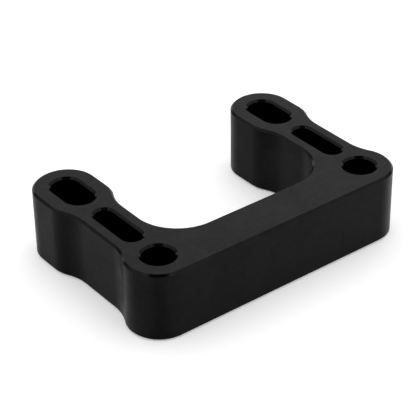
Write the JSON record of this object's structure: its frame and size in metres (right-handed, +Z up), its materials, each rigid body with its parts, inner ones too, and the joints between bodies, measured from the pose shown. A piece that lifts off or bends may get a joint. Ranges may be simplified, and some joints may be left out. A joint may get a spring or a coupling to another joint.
{
  "type": "stem riser",
  "caption": "U-shaped one-piece spacer block that raises a bolted-on handlebar stem above a fork crown, with round front holes and slotted rear holes.",
  "frame": {"origin": "on the bottom face, midway between the axes of the two round front holes", "axes": "+Z up through the riser from the bottom face to the top face, +X to the right along the crossbar, +Y towards the rear ends of the legs"},
  "size_m": [0.0726, 0.0503, 0.017],
  "materials": {
    "black_anodised": "satin black anodised over a fine bead-blasted machined surface"
  },
  "bodies": {
    "root": {"riser": "black_anodised"}
  },
  "joints": []
}
